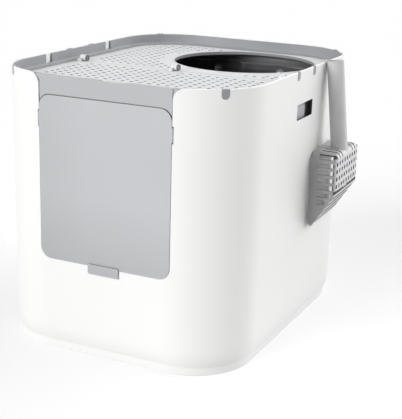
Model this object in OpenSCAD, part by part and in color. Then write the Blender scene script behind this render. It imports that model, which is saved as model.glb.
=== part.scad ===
// Top entry litter box: a drafted plastic tub with a lift-off lid, a panel that
// closes the front opening, a hanging liner bag and a slotted scoop on the rim.
// The origin is the middle of the tub's underside. Z is up, the front faces -Y.

/* [Tub] */
// Width of the tub across the rim
body_w = 414; // [350:1:500]
// Depth of the tub across the rim, front to back
body_d = 533.4; // [450:1:640]
// Height of the tub to the top of the rim
body_h = 431.8; // [360:1:520]
// Radius of the tub's upright corners, at the rim
corner_r = 106; // [90:1:120]
// How far each wall leans in from rim to floor
draft = 3; // [1:0.5:5]
// Thickness of the tub wall
wall = 3.2; // [2.4:0.2:4]
// Thickness of the thinner wall at the rim
rim_wall = 2.4; // [2:0.2:3]
// Thickness of the tub floor
floor_t = 3.2; // [2.4:0.2:5]
// Height of the stepped foot band
foot_h = 14; // [8:1:20]
// How far the foot band stands inside the wall
foot_inset = 6.5; // [5:0.5:7.5]
// Height to which the lower edge is rounded
skirt_h = 40; // [30:1:60]
// Radius of the rounding between wall and floor inside
floor_fillet = 30; // [27:1:36]

/* [Hand holds] */
// Length of the hand hold in each side wall
grip_l = 67; // [50:1:90]
// Height of the hand hold
grip_h = 25; // [18:1:32]
// Depth of the hand hold's top edge under the rim
grip_drop = 51.8; // [48:0.5:70]
// Corner radius of the hand hold
grip_r = 2; // [1:0.5:8]

/* [Front opening] */
// Width of the front opening
gate_w = 220; // [180:1:240]
// Height of the front opening's sill above the floor
gate_sill = 148.7; // [120:1:200]
// Radius of the opening's lower corners
gate_r = 18; // [8:1:30]
// Radius where the opening's sides run out into the rim
gate_flare = 18; // [8:1:20]
// Height of the panel's top edge under the rim
door_drop = 31.2; // [28:0.5:40]
// Thickness of the front panel
door_t = 2.6; // [2:0.2:3.4]
// Clearance round the front panel
door_gap = 0.6; // [0.3:0.1:1.2]
// Width of the pull tab under the panel
tab_w = 52; // [40:1:80]
// Height of the pull tab
tab_h = 12; // [8:1:18]
// Height of the panel's side ears
ear_h = 21; // [14:1:30]
// Depth of the ears' lower edge under the rim
ear_drop = 77.8; // [70:1:100]
// How far the ears reach past the panel's sides
ear_reach = 2; // [1.5:0.5:4]

/* [Lid frame] */
// Depth of the deck's top face under the rim
deck_drop = 19.8; // [17:0.2:26]
// Depth of the frame's lower edge under the rim
frame_drop = 33.8; // [32:0.2:40]
// Thickness of the frame wall
frame_t = 2.2; // [2:0.2:3]
// Clearance between frame and tub wall
frame_gap = 0.7; // [0.4:0.1:1]
// Width of the ledge that shows beside the decks
ledge_w = 8.6; // [4:0.1:9]
// Height of the ledge where it meets the frame wall, above the decks
ledge_rise = 4.5; // [2:0.5:6]
// Width of the rebate that carries the decks
lip_w = 5; // [4:0.5:6]
// Width of the locating lugs in the rim
lug_w = 12.5; // [10:0.5:20]
// Depth of the lugs below the rim
lug_h = 14.8; // [12:0.2:18]
// Distance of the side lugs from the middle
lug_y = 34.5; // [25:0.5:45]
// Width of the scoop slots in the frame
slot_w = 17; // [13:0.5:18]
// Place of the front pair of slots, from the middle
slot_front = -99; // [-110:1:-80]
// Place of the rear pair of slots, from the middle
slot_back = 89; // [80:1:100]
// How far the frame's front runs down behind the panel
apron_drop = 20; // [14:1:40]

/* [Decks] */
// Thickness of both decks
deck_t = 3; // [2.4:0.2:4]
// Place of the fold line, from the middle
fold_y = -27; // [-60:1:0]
// Clearance round the decks
deck_gap = 0.5; // [0.3:0.1:1]
// Radius of the round entry
entry_r = 120; // [100:1:121]
// Place of the entry's centre, to the right of the middle
entry_x = 48; // [30:1:50]
// Place of the entry's centre, behind the middle
entry_y = 123; // [115:1:124]
// Diameter of the litter holes
hole_d = 6.5; // [4:0.5:8]
// Pitch of the litter holes across the tub
hole_px = 15.2; // [12:0.1:20]
// Pitch of the litter holes front to back
hole_py = 15.8; // [12:0.1:20]
// Columns of litter holes to each side of the middle column
hole_cols = 11; // [8:1:12]

/* [Hinges] */
// Distance of the outer hinges from the middle
hinge_out = 178.5; // [140:0.5:180]
// Place of the middle hinge, from the middle
hinge_mid = -7.5; // [-20:0.5:20]
// Outer radius of the hinge barrels
barrel_r = 5.2; // [4.4:0.1:5.2]
// Length of each hinge barrel, two knuckles
barrel_l = 10; // [9:0.5:14]
// Radius of the hinge pins
pin_r = 2.2; // [1.6:0.1:2.6]
// Radial clearance between pin and knuckle
pin_gap = 0.05; // [0.02:0.01:0.1]
// Thickness of the hinge pin's head
head_t = 2.6; // [2:0.2:4]

/* [Liner] */
// Thickness of the liner sheet
liner_t = 1.2; // [0.8:0.1:2]
// Clearance between liner and tub wall
liner_gap = 3.4; // [3:0.2:6]
// Depth of the liner's top edge under the rim
liner_drop = 44.8; // [42:1:60]
// Height of the liner's low front edge
liner_front = 136; // [100:1:145]
// Radius of the hanging pegs
peg_r = 4.2; // [3:0.1:5]
// Depth of the pegs under the rim
peg_drop = 57; // [54:1:70]
// Distance of the side pegs from the middle
peg_y = 125; // [100:1:140]
// Distance of the rear pegs from the middle
peg_x = 62; // [40:1:80]

/* [Scoop] */
// Outer radius of the scoop handle
handle_r = 13.8; // [11:0.2:14]
// Wall thickness of the scoop handle
handle_t = 2.4; // [2:0.2:3]
// Length of the handle down to the scoop's shoulder
handle_l = 139; // [110:1:145]
// Lean of the handle away from the wall, in degrees
handle_tilt = 6.4; // [4:0.1:6.5]
// Sideways swing of the scoop's head, in degrees
scoop_roll = 1.5; // [-3:0.1:3]
// Width of the scoop across its mouth
scoop_w = 120; // [90:1:125]
// Height of the scoop from shoulder to tip
scoop_h = 127; // [105:1:140]
// Depth of the scoop, mouth to floor
scoop_d = 43; // [43:1:55]
// Height of the ramp that runs out to the tip
ramp_h = 60; // [45:1:70]
// Thickness of the scoop's walls
scoop_t = 2; // [1.8:0.2:3]

/* [Hidden] */

$fn = 96;
eps = 0.01;

tub_white = "#f3f3f2";
frame_grey = "#b4b6ba";
deck_grey = "#c6c8cd";
panel_grey = "#c9cace";
liner_grey = "#55565c";
pin_grey = "#55575b";
scoop_grey = "#b3b1b2";

// Half sizes of the tub at the rim, and the centres of its corner arcs
half_w = body_w / 2;
half_d = body_d / 2;
arc_x = half_w - corner_r;
arc_y = half_d - corner_r;

// Place of the scoop along its slot
scoop_y = slot_back + 4.2;

// Heights
deck_z = body_h - deck_drop;
frame_z = body_h - frame_drop;
frame_top = body_h - 1.3;
door_top = body_h - door_drop;
ear_z = body_h - ear_drop;
grip_top = body_h - grip_drop;
liner_top = body_h - liner_drop;
peg_z = body_h - peg_drop;

// Distances inward from the rim's outer face, all negative
frame_u = -(rim_wall + frame_gap);
frame_in = frame_u - frame_t;
ledge_in = frame_in - ledge_w;
lip_in = ledge_in - lip_w;
deck_u = ledge_in - deck_gap;
seat_in = frame_in - 0.5;
liner_u = -(wall + liner_gap);

// The wall's outer face at a height, as a distance inward from the rim
function lean(z) = -draft * (1 - z / body_h);

// Small fits and thicknesses
apron_gap = 1.2;
apron_sink = 1.2;
pocket = draft * (1 - (frame_z - apron_drop) / body_h) + door_t + 0.4;
lip_t = 2.8;
lug_gap = 0.3;
fold_gap = 0.6;
fold_land = 21;
edge_land = 14;
entry_land = 21;
hinge_clear = 30;
knuckle_gap = 0.4;
head_gap = 0.3;
leaf_l = 12;
collar_t = 2.4;
collar_h = 4.5;
lift_w = 56;
lift_h = 12.5;
lift_t = 3;
lift_x = 12;
lift_y = -half_d + 38;
dip_h = 3;
panel_sit = 0.3;
tab_t = 2.2;
tab_lap = 3.5;
liner_sit = 0.3;
eyelet_r = peg_r + 0.7;
mouth_gap = 2.2;
flank = 4;
flank_r = 7;
knee_r = 20;
shoulder_r = 24;
slot_rows = 7;
slot_pitch = 12.5;
slot_start = 11.5;
slot_top = 6.6;
slot_h = 7.4;
slit_h = 9;
floor_cols = 9;
floor_pitch = 12.4;
floor_rows = 4;
floor_top = 16.6;
socket_l = 10;
handle_gap = 0.05;
hook_w = 7.5;
hook_t = 2.6;
hook_l = 18;

// Centres of the hinge barrels across the tub
barrel_x = [for (x = [-hinge_out, hinge_mid, hinge_out]) x - (head_t + head_gap) / 2];
axis_z = deck_z + barrel_r + 0.3;

// ---- shared shapes ----

// Sweeps a profile round the tub's outline. The profile's x is the distance
// outward from the rim's face, and its y is the height.
module around() {
    for (a = [0:90:270]) {
        sx = (a == 0 || a == 270) ? 1 : -1;
        sy = a < 180 ? 1 : -1;
        translate([sx * arc_x, sy * arc_y, 0])
            rotate(a)
                rotate_extrude(angle = 90)
                    translate([corner_r, 0]) children();
    }
    for (s = [0, 180]) rotate(s) {
        translate([half_w, arc_y, 0])
            rotate([90, 0, 0])
                linear_extrude(2 * arc_y) children();
        translate([-arc_x, half_d, 0])
            rotate([90, 0, 90])
                linear_extrude(2 * arc_x) children();
    }
}

// Outline of the tub moved inward, with its corner arcs on the same centres
module outline(u) {
    r = corner_r + u;
    square([2 * arc_x, 2 * (half_d + u)], center = true);
    square([2 * (half_w + u), 2 * arc_y], center = true);
    for (x = [-arc_x, arc_x], y = [-arc_y, arc_y])
        translate([x, y]) circle(r);
}

module slab(u, z0, z1) {
    translate([0, 0, z0]) linear_extrude(z1 - z0) outline(u);
}

// A rectangle with round corners, centred
module soft_rect(w, h, r) {
    square([w - 2 * r, h], center = true);
    square([w, h - 2 * r], center = true);
    for (x = [-1, 1], y = [-1, 1])
        translate([x * (w / 2 - r), y * (h / 2 - r)]) circle(r, $fn = 32);
}

// A round-bottomed notch or lug that points along +X and is open at the top
module u_shape(w, depth, x0, x1, top) {
    r = w / 2;
    translate([x0, 0, 0]) rotate([90, 0, 90]) linear_extrude(x1 - x0) {
        translate([0, body_h - depth + r]) circle(r, $fn = 32);
        translate([-r, body_h - depth + r]) square([w, depth - r + top]);
    }
}

// Places of the locating lugs: two on each side and one on each corner
module at_lugs() {
    for (s = [0, 180]) rotate(s)
        for (y = [-lug_y, lug_y]) translate([half_w, y, 0]) children();
    for (sx = [-1, 1], sy = [-1, 1])
        translate([sx * arc_x, sy * arc_y, 0])
            rotate(atan2(sy, sx)) translate([corner_r, 0, 0]) children();
}

// Places of the liner's pegs, with X pointing out through the wall
module at_pegs() {
    for (s = [0, 180]) rotate(s)
        for (y = [-peg_y, peg_y]) translate([half_w, y, peg_z]) children();
    for (x = [-peg_x, peg_x])
        translate([x, half_d, peg_z]) rotate(90) children();
}

// ---- tub ----

// Section of the tub wall, foot band and floor edge
arc_n = 6;
skirt_r = (pow(skirt_h - foot_h, 2) + pow(foot_inset - 1.5, 2)) / (2 * (foot_inset - 1.5));
skirt_a = asin((skirt_h - foot_h) / skirt_r);
fillet_u = lean(floor_fillet + floor_t) - wall;
module tub_section() {
    polygon(concat(
        [[fillet_u - floor_fillet - 4, 0],
         [lean(0) - foot_inset - 0.6, 0],
         [lean(0) - foot_inset, 1],
         [lean(foot_h) - foot_inset + 0.4, foot_h - 0.8]],
        [for (i = [0:arc_n])
            let (a = skirt_a * (1 - i / arc_n))
            [lean(skirt_h) - skirt_r * (1 - cos(a)), skirt_h - skirt_r * sin(a)]],
        [[lean(body_h - 1), body_h - 1],
         [-0.7, body_h],
         [-rim_wall + 0.7, body_h],
         [-rim_wall, body_h - 1],
         [lean(frame_z) - rim_wall, frame_z],
         [seat_in, frame_z],
         [seat_in, frame_z - 3],
         [lean(frame_z - 9) - wall, frame_z - 9]],
        [for (i = [0:arc_n])
            let (a = 90 * i / arc_n)
            [fillet_u - floor_fillet * (1 - cos(a)),
             floor_t + floor_fillet * (1 - sin(a))]],
        [[fillet_u - floor_fillet - 4, floor_t]]));
}

// Outline of the front opening, seen from the front
module gate_outline() {
    top = body_h + 10;
    r = gate_r + door_gap;
    translate([0, gate_sill + r]) {
        translate([-gate_w / 2, 0]) square([gate_w, top - gate_sill - r]);
        translate([-gate_w / 2 + r, -r]) square([gate_w - 2 * r, r + eps]);
        for (s = [-1, 1])
            translate([s * (gate_w / 2 - r), 0]) circle(r, $fn = 48);
    }
    for (s = [-1, 1]) {
        translate([s * gate_w / 2, body_h - gate_flare]) difference() {
            translate([s > 0 ? -1 : -gate_flare, 0])
                square([gate_flare + 1, gate_flare + 10]);
            translate([s * gate_flare, 0]) circle(gate_flare, $fn = 48);
        }
        translate([s > 0 ? gate_w / 2 - 2 : -gate_w / 2 - ear_reach, ear_z - 2])
            square([ear_reach + 2, ear_h + 4]);
    }
}

module front_cut(depth) {
    translate([0, -half_d + depth, 0])
        rotate([90, 0, 0]) linear_extrude(depth + 20) children();
}

module tub() {
    color(tub_white) {
        difference() {
            union() {
                around() tub_section();
                slab(fillet_u - floor_fillet, 0, floor_t);
            }
            front_cut(40) gate_outline();
            for (s = [-1, 1])
                translate([s * half_w - 15, 0, grip_top - grip_h / 2])
                    rotate([90, 0, 90]) linear_extrude(30)
                        soft_rect(grip_l, grip_h, grip_r);
            at_lugs() u_shape(lug_w, lug_h, -rim_wall - 3, 5, 5);
        }
        at_pegs() {
            translate([-liner_gap - wall - 8, 0, 0])
                rotate([0, 90, 0]) cylinder(r = peg_r, h = liner_gap + 8 + wall / 2, $fn = 32);
            translate([-liner_gap - wall - 9.5, 0, 0])
                rotate([0, 90, 0]) cylinder(r = peg_r + 0.3, h = 1.5, $fn = 32);
        }
    }
}

// ---- lid ----

module frame_section() {
    polygon([[frame_u, frame_z], [frame_u, frame_top - 0.8],
             [frame_u - 0.8, frame_top], [frame_in + 0.8, frame_top],
             [frame_in, frame_top - 0.8], [frame_in, deck_z + ledge_rise],
             [frame_in - ledge_w / 3, deck_z + ledge_rise / 2.4],
             [ledge_in, deck_z + 0.3], [ledge_in, deck_z - deck_t],
             [lip_in, deck_z - deck_t], [lip_in, deck_z - deck_t - lip_t],
             [frame_in, deck_z - deck_t - lip_t], [frame_in, frame_z]]);
}

// The frame's front: a raised face that fills the notch over the panel, and a
// stretch that runs down behind the panel's top and closes its corners
module apron() {
    w = gate_w - 2 * apron_gap;
    intersection() {
        around() translate([frame_u - 0.6, frame_z - 12])
            square([-apron_sink - frame_u + 0.6, frame_top - frame_z + 11.2]);
        translate([-w / 2, -half_d - 1, frame_z - 20]) cube([w, 30, 60]);
    }
    translate([-w / 2, -half_d + pocket - 0.2, frame_z - apron_drop])
        cube([w, frame_t, apron_drop + 1]);
}

// Room for the panel's top in the face of the apron
module panel_pocket() {
    translate([0, -half_d + pocket, 0]) rotate([90, 0, 0]) linear_extrude(20)
        translate([0, door_top + apron_gap - 60])
            soft_rect(gate_w + 2 * (apron_gap - door_gap), 120, gate_r + apron_gap);
}

module lid_frame() {
    color(frame_grey) {
        difference() {
            union() {
                around() frame_section();
                apron();
            }
            for (x = [-1, 1], y = [slot_front, slot_back])
                translate([x * half_w, y, 0]) mirror([x < 0 ? 1 : 0, 0, 0])
                    translate([frame_in - 0.3, -slot_w / 2, frame_z - 1])
                        cube([frame_t + 1, slot_w, frame_drop + 2]);
            // a shallow dip in the front edge, for the fingers that lift the deck
            dip_r = (pow(lift_w / 2, 2) + pow(dip_h, 2)) / (2 * dip_h);
            translate([lift_x, -half_d + 12, frame_top - dip_h + dip_r])
                rotate([90, 0, 0]) cylinder(r = dip_r, h = 12, $fn = 240);
            panel_pocket();
        }
        at_lugs() u_shape(lug_w - 2 * lug_gap, lug_h - lug_gap, frame_in + 0.4, -0.2, -0.4);
    }
}

// True where a litter hole's centre is clear of the deck's edge
function inside(x, y, u) =
    let (ax = abs(x), ay = abs(y))
    ax <= half_w + u && ay <= half_d + u
    && (ax <= arc_x || ay <= arc_y || norm([ax - arc_x, ay - arc_y]) <= corner_r + u);

// True where a hinge barrel stands on the deck
function at_barrel(x, y) =
    abs(y - fold_y) < hinge_clear
    && min([for (b = barrel_x) abs(x - b)]) < barrel_l / 2 + hole_px / 2 + hole_d / 2;

function front_holes() =
    [for (i = [-hole_cols:hole_cols], j = [0:30])
        let (x = i * hole_px, y = fold_y - fold_land - j * hole_py)
        if (inside(x, y, deck_u - edge_land) && !at_barrel(x, y)
            && !(abs(x - lift_x) < lift_w / 2 + hole_d && y < lift_y + hole_py)) [x, y]];

function rear_holes() =
    [for (i = [-hole_cols:hole_cols], j = [0:30])
        let (x = i * hole_px, y = fold_y + fold_land + j * hole_py)
        if (inside(x, y, deck_u - edge_land) && !at_barrel(x, y)
            && (x < entry_x || y < entry_y)
            && norm([x - entry_x, y - entry_y]) > entry_r + entry_land) [x, y]];

// One side of the fold line: side is -1 in front of it and 1 behind
module half_plane(side, gap) {
    translate([-body_w, side > 0 ? fold_y + gap : fold_y - gap - body_d])
        square([2 * body_w, body_d]);
}

// Knuckles of one deck: side is -1 for the front deck, 1 for the rear deck
module knuckles(side) {
    l = (barrel_l - knuckle_gap) / 2;
    for (b = barrel_x)
        translate([b + (side < 0 ? -barrel_l / 2 : barrel_l / 2 - l), fold_y, axis_z])
            difference() {
                union() {
                    rotate([0, 90, 0]) cylinder(r = barrel_r, h = l, $fn = 48);
                    translate([0, side < 0 ? -leaf_l : 0, deck_z - axis_z - 1])
                        cube([l, leaf_l, barrel_r + 1]);
                }
                translate([-1, 0, 0]) rotate([0, 90, 0])
                    cylinder(r = pin_r + pin_gap, h = l + 2, $fn = 48);
            }
}

module deck(side) {
    translate([0, 0, deck_z - deck_t]) linear_extrude(deck_t) difference() {
        intersection() {
            outline(deck_u);
            half_plane(side, fold_gap);
        }
        if (side > 0) translate([entry_x, entry_y]) circle(entry_r, $fn = 180);
        for (p = side < 0 ? front_holes() : rear_holes())
            translate(p) circle(hole_d / 2, $fn = 24);
    }
    knuckles(side);
}

module rear_deck() {
    color(deck_grey) {
        deck(1);
        translate([entry_x, entry_y, deck_z - collar_h]) difference() {
            cylinder(r = entry_r + collar_t, h = collar_h + 1.2, $fn = 180);
            translate([0, 0, -1]) cylinder(r = entry_r, h = collar_h + 4, $fn = 180);
        }
    }
}

module front_deck() {
    color(deck_grey) {
        deck(-1);
        translate([lift_x, lift_y, deck_z - 1]) rotate([90, 0, 0])
            linear_extrude(lift_t) difference() {
                translate([0, (lift_h + 1) / 2]) soft_rect(lift_w, lift_h + 1, 5);
                translate([-lift_w, -9]) square([2 * lift_w, 9]);
            }
        translate([lift_x - lift_w / 2, lift_y - lift_t, deck_z - 1]) cube([lift_w, lift_t, 6]);
    }
}

module hinge_pin(x) {
    color(pin_grey) translate([x - barrel_l / 2, fold_y, axis_z]) rotate([0, 90, 0]) {
        translate([0, 0, -1]) cylinder(r = pin_r, h = barrel_l + 1.4, $fn = 48);
        translate([0, 0, barrel_l + head_gap])
            cylinder(r = barrel_r - 0.2, h = head_t, $fn = 48);
    }
}

// ---- front panel ----

// Stands its children in the plane of the drafted front wall
module on_front() {
    translate([0, -half_d + draft, 0]) rotate([atan(draft / body_h), 0, 0]) children();
}

module front_panel() {
    z0 = gate_sill + panel_sit;
    w = gate_w - 2 * door_gap;
    color(panel_grey) on_front() {
        translate([0, door_t, 0]) rotate([90, 0, 0]) linear_extrude(door_t) {
            translate([0, (z0 + door_top) / 2]) soft_rect(w, door_top - z0, gate_r);
            translate([-w / 2 - ear_reach + panel_sit, ear_z])
                square([w + 2 * (ear_reach - panel_sit), ear_h]);
        }
        translate([0, -panel_sit, 0]) rotate([90, 0, 0]) linear_extrude(tab_t)
            translate([0, z0 + (tab_lap - tab_h) / 2]) soft_rect(tab_w, tab_h + tab_lap, 2.5);
        translate([-tab_w / 2 + 3, -panel_sit - tab_t, z0 + 0.5])
            cube([tab_w - 6, panel_sit + tab_t + 1, tab_lap - 1]);
    }
}

// ---- liner ----

liner_z = floor_t + liner_sit;
liner_fillet = floor_fillet - liner_gap;
liner_fu = fillet_u - liner_gap;

// Section of the bag: wall, rounded foot and the edge of its floor
module liner_section() {
    polygon(concat(
        [[lean(liner_top) + liner_u, liner_top]],
        [for (i = [0:arc_n])
            let (a = 90 * i / arc_n)
            [liner_fu - liner_fillet * (1 - cos(a)), liner_z + liner_fillet * (1 - sin(a))]],
        [[liner_fu - liner_fillet - 4, liner_z],
         [liner_fu - liner_fillet - 4, liner_z + liner_t]],
        [for (i = [arc_n:-1:0])
            let (a = 90 * i / arc_n, r = liner_fillet - liner_t)
            [liner_fu - liner_t - r * (1 - cos(a)), liner_z + liner_t + r * (1 - sin(a))]],
        [[lean(liner_top) + liner_u - liner_t, liner_top]]));
}

module liner_bag() {
    color(liner_grey) difference() {
        union() {
            around() liner_section();
            slab(liner_fu - liner_fillet, liner_z, liner_z + liner_t);
        }
        front_cut(40) {
            translate([-gate_w / 2 - 6, liner_front + 24]) square([gate_w + 12, body_h]);
            translate([0, liner_front + 40]) soft_rect(gate_w + 12, 80, 24);
        }
        at_pegs() translate([-liner_gap - wall - 6, 0, 0]) rotate([0, 90, 0])
            cylinder(r = eyelet_r + 1.3, h = 10, $fn = 48);
    }
}

module liner_eyelets() {
    color(pin_grey) at_pegs() {
        mid = lean(peg_z) + liner_u - liner_t / 2;
        translate([mid, 0, 0]) rotate([0, 90, 0]) difference() {
            union() {
                cylinder(r = eyelet_r + 1.2, h = liner_t + 1.4, center = true, $fn = 48);
                for (s = [-1, 1])
                    translate([0, 0, s * (liner_t / 2 + 0.4)])
                        cylinder(r = eyelet_r + 3.6, h = 0.6, center = true, $fn = 48);
            }
            cylinder(r = eyelet_r, h = 20, center = true, $fn = 48);
        }
    }
}

// ---- scoop ----

function arc(cx, cy, r, a0, a1, n = 8) =
    [for (i = [0:n]) let (a = a0 + (a1 - a0) * i / n) [cx + r * cos(a), cy + r * sin(a)]];

mouth_x = half_w + mouth_gap;
handle_x = half_w + 0.4 + handle_r;
shoulder_z = body_h - handle_l * cos(handle_tilt);
knee_h = scoop_h - ramp_h;
ramp_a = atan((scoop_d - 4) / ramp_h);
ramp_slit_t = 3.6;
ramp_slit_l = scoop_w - 2 * (flank + 3.5);

// Side view of the scoop, moved inward by i: x is the distance from its mouth
module scoop_side(i) {
    x0 = i > 0 ? -1 : 0;
    knee_z = -knee_h + i * tan(ramp_a / 2);
    polygon(concat(
        [[x0, -i]],
        arc(scoop_d - 10, -10, 10 - i, 90, 0),
        arc(scoop_d - knee_r, -knee_h + knee_r * tan(ramp_a / 2), knee_r - i, 0, -ramp_a),
        i > 0 ? [[x0, knee_z - (scoop_d - i - x0) / tan(ramp_a)]]
              : [[4, -scoop_h], [x0, -scoop_h]]));
}

// Section across the scoop, moved inward by i: the flanks lean in towards its floor
module scoop_section(i) {
    lean_a = atan(flank / scoop_d);
    y0 = scoop_w / 2 - i / cos(lean_a);
    xc = scoop_d - flank_r;
    yc = y0 - flank * xc / scoop_d - (flank_r - i) / cos(lean_a);
    polygon(concat(
        [[-1, y0 + flank / scoop_d]],
        arc(xc, yc, flank_r - i, 90 - lean_a, 0),
        arc(xc, -yc, flank_r - i, 0, lean_a - 90),
        [[-1, -y0 - flank / scoop_d]]));
}

// View of the scoop into its mouth, moved inward by i
module scoop_face(i) {
    w = scoop_w / 2;
    r = shoulder_r;
    polygon(concat(
        arc(w - r, -r, r - i, 0, 90), arc(-w + r, -r, r - i, 90, 180),
        arc(-w + 10, -scoop_h + 10 - (i > 0 ? 20 : 0), 10 - i, 180, 270),
        arc(w - 10, -scoop_h + 10 - (i > 0 ? 20 : 0), 10 - i, 270, 360)));
}

// Solid of the scoop's outside, or of its hollow where i is the wall
module scoop_form(i) {
    intersection() {
        translate([0, scoop_w, 0]) rotate([90, 0, 0])
            linear_extrude(2 * scoop_w) scoop_side(i);
        translate([-5, 0, 0]) rotate([90, 0, 90])
            linear_extrude(scoop_d + 10) scoop_face(i);
        translate([0, 0, -scoop_h - 5]) linear_extrude(scoop_h + 10) scoop_section(i);
    }
}

// A slot with round ends along its x, cut through along its z
module slot(l, w, h) {
    translate([0, 0, -h / 2]) linear_extrude(h) {
        square([l - w, w], center = true);
        for (s = [-1, 1]) translate([s * (l - w) / 2, 0]) circle(w / 2, $fn = 24);
    }
}

// Places its children in the handle's own frame: z is 0 at the rim's height
module in_handle() {
    translate([handle_x, scoop_y, body_h]) rotate([0, -handle_tilt, 0]) children();
}

// Places its children in the scoop's own frame, z is 0 at its shoulder
module in_head() {
    translate([mouth_x, scoop_y, shoulder_z]) rotate([scoop_roll, 0, 0]) children();
}

module scoop_head() {
    color(scoop_grey) difference() {
        union() {
            in_head() difference() {
                scoop_form(0);
                scoop_form(scoop_t);
                // rows of slots in both flanks
                for (k = [0:slot_rows - 1], s = [-1, 1]) {
                    z = -slot_top - k * slot_pitch;
                    reach = scoop_d - 3 - max(0, (-z - knee_h + 6) * tan(ramp_a));
                    if (reach > slot_start + 8)
                        translate([(slot_start + reach) / 2, s * scoop_w / 2, z])
                            rotate([90, 0, 0]) slot(reach - slot_start, slot_h, 24);
                }
                // a grid of short slots in the floor
                for (c = [0:floor_cols - 1], k = [0:floor_rows - 1]) {
                    y = (c - (floor_cols - 1) / 2) * floor_pitch;
                    translate([scoop_d, y, -floor_top - k * slot_pitch])
                        rotate([0, 90, 0]) slot(7.4, 5.4, 12);
                }
                // slits that run over the shoulders and turn down onto the floor
                for (s = [-1, 1], c = [2, 3, 4]) {
                    y = s * c * floor_pitch;
                    translate([slot_start, y - 1.5, -slit_h]) cube([scoop_d, 3, slit_h + 1]);
                }
                // long slits across the ramp, from its top down to the lip
                for (z = [-knee_h + 3:-slot_pitch:-scoop_h + 10])
                    translate([-1, -ramp_slit_l / 2, z - ramp_slit_t / 2])
                        cube([scoop_d + 2, ramp_slit_l, ramp_slit_t]);
            }
            intersection() {
                in_handle() translate([0, 0, -handle_l - socket_l - scoop_t])
                    cylinder(r = handle_r + scoop_t, h = socket_l + scoop_t + 12, $fn = 64);
                in_head() scoop_form(0.5);
            }
        }
        in_handle() translate([0, 0, -handle_l - socket_l])
            cylinder(r = handle_r + handle_gap, h = socket_l + 40, $fn = 64);
    }
}

module scoop_handle() {
    leg_x = half_w + frame_in + 0.3;
    leg_t = -rim_wall - frame_in - 0.7;
    color(scoop_grey) difference() {
        union() {
            in_handle() translate([0, 0, -handle_l - socket_l])
                cylinder(r = handle_r, h = handle_l + socket_l + hook_t, $fn = 64);
            translate([leg_x, scoop_y - hook_w / 2, body_h])
                cube([handle_x - leg_x - handle_r + 4, hook_w, hook_t]);
            translate([leg_x, scoop_y - hook_w / 2, body_h - hook_l])
                cube([leg_t, hook_w, hook_l + 0.5]);
        }
        in_handle() translate([0, 0, -handle_l])
            cylinder(r = handle_r - handle_t, h = handle_l + 20, $fn = 64);
    }
}

tub();
lid_frame();
rear_deck();
front_deck();
hinge_pin(barrel_x[0]);  // hinge_pin_left
hinge_pin(barrel_x[1]);  // hinge_pin_middle
hinge_pin(barrel_x[2]);  // hinge_pin_right
front_panel();
liner_bag();
liner_eyelets();
scoop_head();
scoop_handle();
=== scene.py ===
"""Top entry litter box, finished in Blender around its packed construction.

Everything is in metres: X runs to the side that carries the scoop, -Y to the front
panel, Z up, with the origin in the middle of the tub's underside.
"""
import math

import bpy
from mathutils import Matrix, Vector, noise


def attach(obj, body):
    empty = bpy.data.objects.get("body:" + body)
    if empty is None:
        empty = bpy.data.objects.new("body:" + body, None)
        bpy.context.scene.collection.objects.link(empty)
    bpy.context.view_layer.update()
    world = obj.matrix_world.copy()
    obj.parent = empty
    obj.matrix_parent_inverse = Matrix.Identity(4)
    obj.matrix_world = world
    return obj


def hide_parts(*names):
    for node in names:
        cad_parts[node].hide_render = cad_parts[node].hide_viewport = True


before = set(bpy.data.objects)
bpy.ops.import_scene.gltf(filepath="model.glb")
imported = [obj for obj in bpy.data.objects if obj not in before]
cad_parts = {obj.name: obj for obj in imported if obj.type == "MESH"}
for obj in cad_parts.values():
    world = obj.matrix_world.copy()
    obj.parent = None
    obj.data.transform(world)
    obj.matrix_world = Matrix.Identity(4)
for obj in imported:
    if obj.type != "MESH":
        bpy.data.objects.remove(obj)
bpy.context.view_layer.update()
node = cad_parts
bpy.ops.object.select_all(action="DESELECT")


# ---- Camera ----
# A long lens at the photograph's place, a little above the rim and to the right of
# the front panel. The angles are pitch, roll and heading.
camera_place = (0.761923, -1.549413, 0.688065)
camera_angles = [math.radians(a) for a in (73.394, -1.6757, 25.7093)]
camera_lens = 91.28

bpy.ops.object.camera_add(location=camera_place, rotation=camera_angles)
camera = bpy.context.object
camera.data.sensor_width = 36
camera.data.lens = camera_lens
camera.data.clip_end = 50
bpy.context.scene.camera = camera


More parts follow.
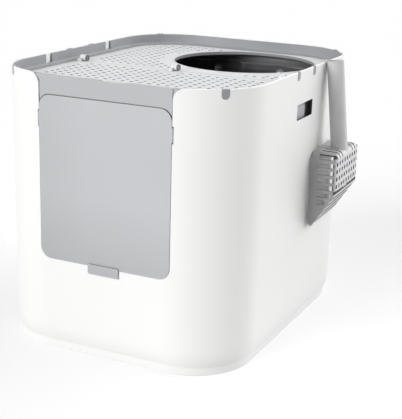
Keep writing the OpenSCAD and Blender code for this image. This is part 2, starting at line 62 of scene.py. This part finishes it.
# ---- Tub ----
# One deep injection moulding in white plastic, drafted towards the foot, with its rim,
# pegs and hand holds in one piece. The wall is smooth and satin, with the faint
# waviness of a large flat moulding.
class Finish:
    """A moulded plastic: a shader whose colour, gloss and relief follow the surface."""

    def __init__(self, name, color, roughness):
        self.material = bpy.data.materials.new(name)
        self.material.use_nodes = True
        self.nodes = self.material.node_tree.nodes
        self.links = self.material.node_tree.links
        self.shader = self.nodes["Principled BSDF"]
        self.shader.inputs["Roughness"].default_value = roughness
        self.place = self.nodes.new("ShaderNodeTexCoord").outputs["Object"]
        self.color = color
        self.surface = None

    def noise(self, scale, detail=2.0, rough=0.5):
        texture = self.nodes.new("ShaderNodeTexNoise")
        texture.inputs["Scale"].default_value = scale
        texture.inputs["Detail"].default_value = detail
        texture.inputs["Roughness"].default_value = rough
        self.links.new(self.place, texture.inputs["Vector"])
        return texture.outputs["Fac"]

    def axis(self, name, facing=False):
        """A coordinate of the place, or of the way the surface faces."""
        axes = self.nodes.new("ShaderNodeSeparateXYZ")
        source = self.nodes.new("ShaderNodeTexCoord").outputs["Normal"] if facing else self.place
        self.links.new(source, axes.inputs["Vector"])
        return axes.outputs[name]

    def calc(self, operation, a, b=None):
        result = self.nodes.new("ShaderNodeMath")
        result.operation = operation
        for socket, value in zip(result.inputs, (a, b)):
            if isinstance(value, float):
                socket.default_value = value
            elif value is not None:
                self.links.new(value, socket)
        return result.outputs[0]

    def size(self, value):
        return self.calc("ABSOLUTE", value)

    def over(self, value, limit):
        return self.calc("GREATER_THAN", value, limit)

    def under(self, value, limit):
        return self.calc("LESS_THAN", value, limit)

    def between(self, value, low, high):
        return self.all_of(self.over(value, low), self.under(value, high))

    def all_of(self, *values):
        """The product of the values: 1 where every one of them is 1."""
        product = values[0]
        for value in values[1:]:
            product = self.calc("MULTIPLY", product, value)
        return product

    def ramp(self, value, low, high, start=0.35, end=0.65):
        """A number from low to high as value goes from start to end."""
        ranged = self.nodes.new("ShaderNodeMapRange")
        ranged.inputs["From Min"].default_value = start
        ranged.inputs["From Max"].default_value = end
        ranged.inputs["To Min"].default_value = low
        ranged.inputs["To Max"].default_value = high
        self.links.new(value, ranged.inputs["Value"])
        return ranged.outputs["Result"]

    def mix(self, value, low, high):
        """The base colour goes from low to high with value. Each is a colour or a socket."""
        mixed = self.nodes.new("ShaderNodeMix")
        mixed.data_type = "RGBA"
        self.links.new(value, mixed.inputs["Factor"])
        for socket, color in zip(mixed.inputs[6:8], (low, high)):
            if isinstance(color, tuple):
                socket.default_value = (*color, 1)
            else:
                self.links.new(color, socket)
        self.links.new(mixed.outputs[2], self.shader.inputs["Base Color"])

    def tint(self, value, low, high, start=0.35, end=0.65):
        """The colour varies from low to high times itself with value."""
        shades = [tuple(c * k for c in self.color) for k in (low, high)]
        self.mix(self.ramp(value, 0.0, 1.0, start, end), *shades)

    def shade(self, *values):
        """The colour is darkened by each of the values, from 0 to 1."""
        self.tint(self.all_of(*values), 0.0, 1.0, 0.0, 1.0)

    def patch(self, value, color):
        """A place of another colour, over the colour so far, where value is 1."""
        self.mix(value, self.shader.inputs["Base Color"].links[0].from_socket, color)

    def gloss(self, value, low, high):
        self.links.new(self.ramp(value, low, high), self.shader.inputs["Roughness"])

    def relief(self, value, depth):
        """Raises the surface by up to depth, in metres, with value."""
        bump = self.nodes.new("ShaderNodeBump")
        bump.inputs["Strength"].default_value = 1.0
        bump.inputs["Distance"].default_value = depth
        self.links.new(value, bump.inputs["Height"])
        if self.surface is not None:
            self.links.new(self.surface, bump.inputs["Normal"])
        self.surface = bump.outputs["Normal"]
        self.links.new(self.surface, self.shader.inputs["Normal"])


def finish_node(name, finish):
    """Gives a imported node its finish."""
    mesh = node[name].data
    mesh.materials.clear()
    mesh.materials.append(finish.material)


# The hand holds in the side walls, and the strip inside between the liner and the lid, where shade is
# painted
side_wall, hold_half, hold_low, hold_high = 0.19, 0.036, 0.353, 0.382
strip_low, strip_high = 0.38, 0.413
cut_edge_shade_grey, strip_shade_grey = (0.03, 0.03, 0.035), (0.2, 0.2, 0.205)

white = Finish("tub_white", (0.9, 0.9, 0.893), 0.34)
white.tint(white.noise(5, 2), 0.99, 1.0)
white.gloss(white.noise(60, 3, 0.6), 0.32, 0.37)
white.relief(white.noise(6, 1), 0.00005)
white.relief(white.noise(900, 2), 0.00001)
# Shade is painted on the cut edges of the hand holds, near black
cut_edge = white.under(white.size(white.axis("X", facing=True)), 0.5)
in_hold = white.all_of(white.over(white.size(white.axis("X")), side_wall),
                       white.under(white.size(white.axis("Y")), hold_half),
                       white.between(white.axis("Z"), hold_low, hold_high))
white.patch(white.all_of(in_hold, cut_edge), cut_edge_shade_grey)
# Shade is painted on the strip inside too. It faces the middle of the tub
outwards = white.calc("ADD", white.all_of(white.axis("X", facing=True), white.axis("X")),
                      white.all_of(white.axis("Y", facing=True), white.axis("Y")))
white.patch(white.all_of(white.under(outwards, -0.12),
                         white.between(white.axis("Z"), strip_low, strip_high)), strip_shade_grey)
finish_node("tub", white)


# ---- Liner bag ----
# A loose bag of coated fabric that lines the tub: one wall strip sewn to a floor, with
# a turned and stitched hem. Eyelets hang it from six pegs and its front edge stays low.
# The tub's outline at its rim: the centres and radius of its corners, and its height
arc_x, arc_y, rim_r, rim_z = 0.101, 0.1607, 0.106, 0.4318
# The bag's heights, its hem, the round corners of its low front and its turned foot
bag_top, bag_front, bag_floor = 0.391, 0.136, 0.0035
hem, notch_r, foot_r = 0.0165, 0.024, 0.0266
hem_thickness, single_share = 0.0012, 0.55
# How far it stands in from the outline: at the hem's pegs, by the draft, and at the foot
edge_gap, wall_gap, wall_lean, foot_gap = 0.007, 0.0066, 0.003, 0.00937
fold_depth, wrinkle_depth, slack = 0.0078, 0.0016, 0.0008
peg_z, held_reach = 0.3748, 0.03
peg_places = ((0.207, -0.125), (0.207, 0.125), (0.062, 0.2667), (-0.062, 0.2667),
              (-0.207, 0.125), (-0.207, -0.125))
arc_steps, side_steps, end_steps = 40, 70, 50

# Stations round the bag: the centre its outline turns on and the way out, from the
# middle of the front over the right side to the rear and back
stations = []
for sx, sy, start, steps in ((1, -1, -90, side_steps), (1, 1, 0, end_steps),
                             (-1, 1, 90, side_steps), (-1, -1, 180, end_steps)):
    for i in range(arc_steps + 1):
        turn = math.radians(start + 90 * i / arc_steps)
        stations.append((sx * arc_x, sy * arc_y, math.cos(turn), math.sin(turn)))
    step_x, step_y = (0, 2 * arc_y * sx) if steps == side_steps else (-2 * arc_x * sy, 0)
    for i in range(1, steps):
        stations.append((sx * arc_x + step_x * i / steps, sy * arc_y + step_y * i / steps,
                         math.cos(turn), math.sin(turn)))
half_front = end_steps // 2
stations = stations[-half_front:] + stations[:-half_front]
stations.append(stations[0])


def on_wall(station, inward):
    cx, cy, nx, ny = station
    return cx + nx * (rim_r - inward), cy + ny * (rim_r - inward)


# Distance along the top edge at each station, and the same for the pegs
run = [0.0]
for before, after in zip(stations, stations[1:]):
    run.append(run[-1] + math.dist(on_wall(before, edge_gap), on_wall(after, edge_gap)))
total = run[-1]
notch_half = run[half_front + 4]
pegs = []
for place in peg_places:
    pegs.append(run[min(range(len(run) - 1), key=lambda i: math.dist(on_wall(stations[i], 0), place))])


def along(a, b):
    """Distance between two places on the edge, the shorter way round."""
    return abs((a - b + total / 2) % total - total / 2)


def sag(s):
    """How far the top edge hangs at s, least at a peg."""
    for a, b in zip(pegs, pegs[1:] + [pegs[0] + total]):
        place = s if s >= pegs[0] else s + total
        if a <= place <= b:
            t = (place - a) / (b - a)
            return 4 * t * (1 - t) * min(0.007, 0.1 * (b - a) ** 2)
    return 0.0


def fold(s, z):
    """How far the cloth stands in from its outline: upright folds, none at the pegs."""
    turn = 2 * math.pi * s / total
    at = Vector((math.cos(turn), math.sin(turn), 0)) * (total / (2 * math.pi))
    wide = noise.noise(Vector((at.x * 11, at.y * 11, z * 2.2)))
    fine = noise.noise(Vector((at.x * 30, at.y * 30, z * 5 + 7)))
    ridge = (1 - min(1, abs(wide) * 2.6)) ** 2
    depth = fold_depth * ridge + wrinkle_depth * fine + slack
    near = min(along(s, p) for p in pegs)
    held = 1 - math.exp(-((near / held_reach) ** 2 + ((z - peg_z) / held_reach) ** 2))
    foot = min(1, max(0, (z - 0.02) / 0.05))
    return depth * held * (0.25 + 0.75 * foot)


def notch_edge(s, z):
    """Distance from the edge of the low front."""
    qx, qz = along(s, 0) - notch_half, bag_front - z
    cx, cz = qx + notch_r, qz + notch_r
    return math.hypot(cx, cz) - notch_r if cx > 0 and cz > 0 else max(qx, qz)


def front_limit(s):
    """Height of the cloth's edge in the low front, where its lower corners are round."""
    corner = along(s, 0) - notch_half + notch_r
    return bag_front + notch_r - math.sqrt(notch_r ** 2 - max(0, corner) ** 2)


# Rows from the hem down the wall, round the foot and in over the floor: heights on the
# wall, turns of the foot, radii of the floor's corners, and shares of the way out
rows = [("wall", bag_top - d) for d in (0, 0.002, 0.005, 0.0085, hem - 0.0004, hem + 0.0004)]
rows += [("wall", 0.368 - 0.008 * i) for i in range(26)]
rows += [("wall", bag_front + 0.0245 - 0.0049 * i) for i in range(6)]
rows += [("wall", 0.128 - 0.0098 * i) for i in range(10)]
rows += [("foot", math.radians(90 * i / 8)) for i in range(9)]
rows += [("floor", r) for r in (0.06, 0.045, 0.03, 0.015, 0.0)]
rows += [("middle", k) for k in (0.85, 0.65, 0.45, 0.25, 0.08)]
last_cut_row = 0.161


def bag_point(i, row):
    """The place of the cloth's outer face, and its distance from the free edge."""
    kind, value = row
    cx, cy, nx, ny = stations[i]
    s = run[i]
    if kind == "wall":
        z = value - sag(s) * max(0, 1 - (bag_top - value) / 0.12)
        if in_notch(i):
            z = min(z, front_limit(s))
        inward = wall_gap + wall_lean * (1 - z / rim_z) + fold(s, z)
    elif kind == "foot":
        z = bag_floor + foot_r * (1 - math.sin(value))
        inward = foot_gap + foot_r * (1 - math.cos(value)) + fold(s, z) * (1 - math.sin(value))
    else:
        r = value if kind == "floor" else 0
        k = value if kind == "middle" else 1
        cx, cy = cx * k, cy * k
        inward = rim_r - r
        x, y = cx + nx * r, cy + ny * r
        ripple = noise.noise(Vector((x * 16, y * 16, 3.1))) + 0.5 * noise.noise(Vector((x * 45, y * 45, 8)))
        z = bag_floor + 0.0045 * max(0, ripple)
    edge = max(0, min(bag_top - value, notch_edge(s, value))) if kind == "wall" else 0.1
    return (cx + nx * (rim_r - inward), cy + ny * (rim_r - inward), z), edge


def in_notch(i):
    return along(run[i], 0) < notch_half - 1e-6


def select_only(kind):
    """Edit mode for vertices or faces, with nothing selected, and back to object mode."""
    bpy.ops.object.mode_set(mode="EDIT")
    bpy.ops.mesh.select_mode(type=kind)
    bpy.ops.mesh.select_all(action="DESELECT")
    bpy.ops.object.mode_set(mode="OBJECT")


columns, lines = len(stations) - 1, len(rows) - 1
bpy.ops.mesh.primitive_grid_add(x_subdivisions=columns, y_subdivisions=lines, size=1)
bag = bpy.context.object
bag.name = "liner_cloth_bag"
mesh = bag.data
edge_at, cut = {}, {}
for v in mesh.vertices:
    i, j = round((v.co.x + 0.5) * columns), round((0.5 - v.co.y) * lines)
    v.co, edge = bag_point(i, rows[j])
    edge_at[v.index] = (run[i], edge)
    cut[v.index] = (in_notch(i), rows[j][0] == "wall" and rows[j][1] > last_cut_row)
for loop in mesh.loops:
    mesh.uv_layers[0].data[loop.index].uv = edge_at[loop.vertex_index]
# The cloth over the low front is cut away, then the sheet's two ends are joined
select_only("FACE")
for face in mesh.polygons:
    inner, above = zip(*(cut[v] for v in face.vertices))
    face.select = any(inner) and any(above)
bpy.ops.object.mode_set(mode="EDIT")
bpy.ops.mesh.delete(type="FACE")
bpy.ops.mesh.select_all(action="SELECT")
bpy.ops.mesh.remove_doubles(threshold=0.00005)
# The floor's last ring closes in its middle
select_only("VERT")
for v in mesh.vertices:
    v.select = math.hypot(v.co.x, v.co.y) < 0.0155 and v.co.z < 0.02
bpy.ops.object.mode_set(mode="EDIT")
bpy.ops.mesh.merge(type="CENTER")
bpy.ops.mesh.select_all(action="SELECT")
bpy.ops.mesh.normals_make_consistent(inside=False)
bpy.ops.object.mode_set(mode="OBJECT")
bpy.ops.object.shade_smooth()

# The turned hem is nearly twice as thick as the single cloth
hem_group = bag.vertex_groups.new(name="hem")
in_hem = {}
for loop in mesh.loops:
    in_hem[loop.vertex_index] = mesh.uv_layers[0].data[loop.index].uv[1] < hem
hem_group.add([v for v, inside in in_hem.items() if inside], 1.0, "REPLACE")
cloth = bag.modifiers.new("cloth", "SOLIDIFY")
cloth.thickness = hem_thickness
cloth.offset = -1
cloth.vertex_group = "hem"
cloth.thickness_vertex_group = single_share
# The inside faces take the second finish: the same cloth, painted near black as shade
cloth.material_offset = 1


class Cloth(Finish):
    """A coated woven cloth: fine crossed threads, soft creases and a stitched hem."""

    # Waves a metre, and the depths of the creases, the threads and the stitches
    thread_scale, crease_depth, thread_depth, stitch_depth = 390, 0.0012, 0.00004, 0.0004

    def __init__(self, name, color, roughness):
        super().__init__(name, color, roughness)
        uv = self.nodes.new("ShaderNodeTexCoord").outputs["UV"]
        axes = self.nodes.new("ShaderNodeSeparateXYZ")
        self.links.new(uv, axes.inputs["Vector"])
        self.tint(self.noise(18, 3), 0.9, 1.0)
        self.gloss(self.noise(60, 3), roughness - 0.06, roughness + 0.06)
        self.relief(self.noise(24, 3, 0.55), self.crease_depth)
        for direction in "XY":
            thread = self.nodes.new("ShaderNodeTexWave")
            thread.bands_direction = direction
            thread.inputs["Scale"].default_value = self.thread_scale
            self.links.new(uv, thread.inputs["Vector"])
            self.relief(thread.outputs["Fac"], self.thread_depth)
        self.relief(self.stitches(axes.outputs["X"], axes.outputs["Y"]), self.stitch_depth)

    def stitches(self, u, v):
        """Two rows of stitches along the hem, each stitch 3 mm of every 4."""
        row = self.all_of(self.over(self.calc("PINGPONG", v, 0.0045), 0.0038), self.under(v, hem))
        return self.all_of(row, self.under(self.calc("MODULO", u, 0.004), 0.003))


# The cloth's outside, and its inside painted near black as shade
for cloth_side in (Cloth("liner_cloth", (0.58, 0.59, 0.63), 0.55),
                   Cloth("liner_cloth_inside_shade", (0.05, 0.048, 0.052), 0.5)):
    mesh.materials.append(cloth_side.material)
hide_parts("liner_bag")
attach(bag, "tub")


# ---- Liner eyelets ----
# Six small rings of hard grey plastic, pressed through the bag's hem. Each hooks over
# one of the tub's pegs.
eyelet = Finish("eyelet_grey", (0.2, 0.2, 0.21), 0.35)
eyelet.tint(eyelet.noise(200, 2), 0.9, 1.0)
eyelet.relief(eyelet.noise(1500, 2), 0.00002)
finish_node("liner_eyelets", eyelet)


# ---- Lid frame ----
# A matt grey moulding that stands inside the rim and snaps into its slots. Its inner face
# and ledge are spark-textured, and painted a darker grey than the apron over the panel, as shade.
# The apron's face, and the gap between the apron and the panel's top
apron_y, apron_grey = -0.2625, (0.46, 0.468, 0.484)
gap_face, gap_back, gap_top, gap_grey = -0.2645, -0.257, 0.4, (0.07, 0.07, 0.08)

band = Finish("frame_grey", (0.31, 0.315, 0.33), 0.5)
band.tint(band.noise(25, 3), 0.94, 1.0)
band.gloss(band.noise(60, 3), 0.42, 0.56)
band.relief(band.noise(1500, 2), 0.00004)
# The inner face and ledge keep the darker grey of painted shade, and the apron the lighter one
band.patch(band.under(band.axis("Y"), apron_y), apron_grey)
# The gap is narrow, so its floor and walls are in shade
turned = band.calc("MAXIMUM", band.over(band.axis("Y", facing=True), -0.7),
                   band.over(band.axis("Y"), gap_face))
band.patch(band.all_of(turned, band.under(band.axis("Z"), gap_top),
                       band.under(band.axis("Y"), gap_back)), gap_grey)
finish_node("lid_frame", band)


# ---- Decks ----
# Two perforated light grey plates that lie on the frame's ledge, moulded with a fine
# matt grain so that paws grip. They are hinged together across the tub.
deck_top, hole_shade_grey = 0.4121, (0.3, 0.3, 0.315)

deck = Finish("deck_grey", (0.73, 0.735, 0.745), 0.46)
deck.tint(deck.noise(20, 3), 0.96, 1.0)
deck.gloss(deck.noise(80, 3), 0.4, 0.54)
deck.relief(deck.noise(1100, 2), 0.00005)
# The walls of the litter holes and of the round entry are painted dark as shade
upright = deck.under(deck.size(deck.axis("Z", facing=True)), 0.4)
deck.patch(deck.all_of(upright, deck.under(deck.axis("Z"), deck_top)), hole_shade_grey)
for name in ("rear_deck", "front_deck"):
    finish_node(name, deck)


# ---- Hinge pins ----
# Three short plain pins of hard plastic. Each is pressed through the knuckles of both decks
# from the right. Their dark grey is partly their own and partly painted shade, for the knuckles' dark
# hollow ends.
pin = Finish("pin_grey", (0.12, 0.12, 0.125), 0.4)
pin.tint(pin.noise(300, 2), 0.85, 1.0)
pin.relief(pin.noise(1800, 2), 0.00003)
for name in ("hinge_pin_left", "hinge_pin_middle", "hinge_pin_right"):
    finish_node(name, pin)


# ---- Front panel ----
# A thin light grey panel that pulls out of the front opening, satin and slightly
# wavy, with a pull tab under it. Shade is painted on it, darker towards its foot and left edge.
tab_top, panel_edge_shade_grey = 0.152, (0.12, 0.12, 0.13)
# Where the painted shade on the panel runs from dark to light, across and up
dark_x, light_x, dark_z, light_z = -0.11, -0.03, 0.14, 0.25

panel = Finish("panel_grey", (0.53, 0.535, 0.553), 0.36)
panel.shade(panel.ramp(panel.axis("X"), 0.93, 1.0, dark_x, light_x),
            panel.ramp(panel.axis("Z"), 0.84, 1.0, dark_z, light_z),
            panel.ramp(panel.noise(5, 2), 0.97, 1.0))
# The panel's edge faces above the tab are painted near black, as shade in the gap round it
edge_face = panel.under(panel.size(panel.axis("Y", facing=True)), 0.6)
panel.patch(panel.all_of(edge_face, panel.over(panel.axis("Z"), tab_top)), panel_edge_shade_grey)
panel.gloss(panel.noise(40, 3), 0.3, 0.42)
panel.relief(panel.noise(9, 2), 0.0005)
panel.relief(panel.noise(1300, 2), 0.00003)
finish_node("front_panel", panel)


# ---- Scoop ----
# A slotted head and a hollow handle in satin grey plastic, with light painted on the handle, which is a
# little lighter.
# The hook at the handle's top hangs it on the tub's rim, leaning by 1.5 degrees.
# The head's middle, lean, half width, back and floor, and the band of its shoulders
head_y, head_lean, head_half = 0.0932, math.radians(1.5), 0.053
back_x, floor_x, flank_top, shoulder_low, shoulder_high = 0.209, 0.2497, 0.2845, 0.285, 0.296
# The ramp's slits, from the one under the floor down
slit_top, slit_pitch, slit_half, slits_start, slits_end = 0.23592, 0.0125, 0.003, 0.003, 0.06
face_top, face_painted_light_grey, slit_shade_grey, slot_grey, shoulder_grey = 0.293, 0.7, 0.13, 0.1, 0.07


def scoop_plastic(name, color):
    plastic = Finish(name, color, 0.38)
    plastic.shader.inputs["Specular IOR Level"].default_value = 0.25
    # Shade is painted on, darker towards the tub's wall, with a random tone
    plastic.shade(plastic.ramp(plastic.axis("X"), 0.76, 1.0, back_x, 0.25),
                  plastic.ramp(plastic.noise(35, 3), 0.94, 1.0))
    plastic.gloss(plastic.noise(90, 3), 0.32, 0.46)
    plastic.relief(plastic.noise(1200, 2), 0.00004)
    return plastic


def grey(level):
    return level, level, level + 0.01


head = scoop_plastic("scoop_grey", (0.5, 0.495, 0.495))
from_middle = head.calc("SUBTRACT", head.axis("Y"), head_y)
in_width = head.size(from_middle)
# The floor and the ramp are painted lighter than the flanks, as light
outer_face = head.over(head.axis("X", facing=True), 0.7)
head.patch(head.all_of(outer_face, head.under(head.axis("Z"), face_top)), grey(face_painted_light_grey))
# Each slit across the ramp is edged with painted shade, a band wider than the slit
level = head.calc("SUBTRACT", head.axis("Z"), head.calc("MULTIPLY", from_middle, math.tan(head_lean)))
below = head.calc("SUBTRACT", slit_top, level)
from_slit = head.calc("SUBTRACT", head.calc("MODULO", below, slit_pitch), slit_pitch / 2)
head.patch(head.all_of(head.under(head.size(from_slit), slit_half),
                       head.between(below, slits_start, slits_end),
                       head.under(in_width, head_half + 0.001)), grey(slit_shade_grey))
# The walls of the slots through the floor, of the slits over the shoulders and of the
# slots in the flanks are in shade
across = head.under(head.size(head.axis("X", facing=True)), 0.4)
head.patch(head.all_of(across, head.over(head.axis("X"), floor_x)), grey(slot_grey))
slit_wall = head.over(head.size(head.axis("Y", facing=True)), 0.9)
head.patch(head.all_of(slit_wall, head.between(head.axis("Z"), shoulder_low, shoulder_high)),
           grey(shoulder_grey))
slot_wall = head.over(head.size(head.axis("Z", facing=True)), 0.7)
head.patch(head.all_of(slot_wall, head.over(in_width, head_half),
                       head.under(head.axis("Z"), flank_top)), grey(slot_grey))
finish_node("scoop_head", head)
finish_node("scoop_handle", scoop_plastic("handle_grey_painted_light", (0.67, 0.66, 0.66)))


# ---- Floor, light and background ----
# A plain white floor that keeps a soft shadow, two broad soft lights low to the left
# front and the right rear, a weak one overhead, and an even white surround.
def by_ray(tree, socket, lighting, looking):
    """The socket has one value for rays that carry light and another for those that look."""
    rays = tree.nodes.new("ShaderNodeLightPath")
    value = rays.outputs["Is Camera Ray"]
    for kind in ("Is Glossy Ray", "Is Transmission Ray"):
        either = tree.nodes.new("ShaderNodeMath")
        either.operation = "MAXIMUM"
        tree.links.new(value, either.inputs[0])
        tree.links.new(rays.outputs[kind], either.inputs[1])
        value = either.outputs[0]
    chosen = tree.nodes.new("ShaderNodeMapRange")
    chosen.inputs["To Min"].default_value = lighting
    chosen.inputs["To Max"].default_value = looking
    tree.links.new(value, chosen.inputs["Value"])
    tree.links.new(chosen.outputs["Result"], socket)


bpy.ops.mesh.primitive_plane_add(size=30)
floor = bpy.context.object
floor.name = "floor"
floor_white = bpy.data.materials.new("floor_white")
floor_white.use_nodes = True
floor_shader = floor_white.node_tree.nodes["Principled BSDF"]
floor_shader.inputs["Roughness"].default_value = 1.0
floor_shader.inputs["Specular IOR Level"].default_value = 0.0
floor_shader.inputs["Emission Color"].default_value = (1, 1, 1, 1)
by_ray(floor_white.node_tree, floor_shader.inputs["Base Color"], 0.6, 0.42)
by_ray(floor_white.node_tree, floor_shader.inputs["Emission Strength"], 0.0, 0.58)
floor.data.materials.append(floor_white)


def sun(name, heading, height, strength, softness):
    """heading is where the light comes from, in degrees from the front towards +X."""
    bpy.ops.object.light_add(type="SUN")
    light = bpy.context.object
    light.name = name
    turn, lift = math.radians(heading), math.radians(height)
    flat = math.cos(lift)
    source = Vector((math.sin(turn) * flat, -math.cos(turn) * flat, math.sin(lift)))
    light.rotation_euler = source.to_track_quat("Z", "Y").to_euler()
    light.data.energy = strength
    light.data.angle = math.radians(softness)


sun("front_left_light", -21, 24, 2.55, 35)
sun("right_rear_light", 132, 24, 2.65, 70)
sun("top_light", 0, 90, 0.4, 60)

world = bpy.data.worlds.new("surround")
bpy.context.scene.world = world
world.use_nodes = True
surround = world.node_tree.nodes["Background"]
surround.inputs["Color"].default_value = (1, 1, 1, 1)
by_ray(world.node_tree, surround.inputs["Strength"], 0.18, 1.0)

bpy.context.scene.view_settings.view_transform = "Standard"
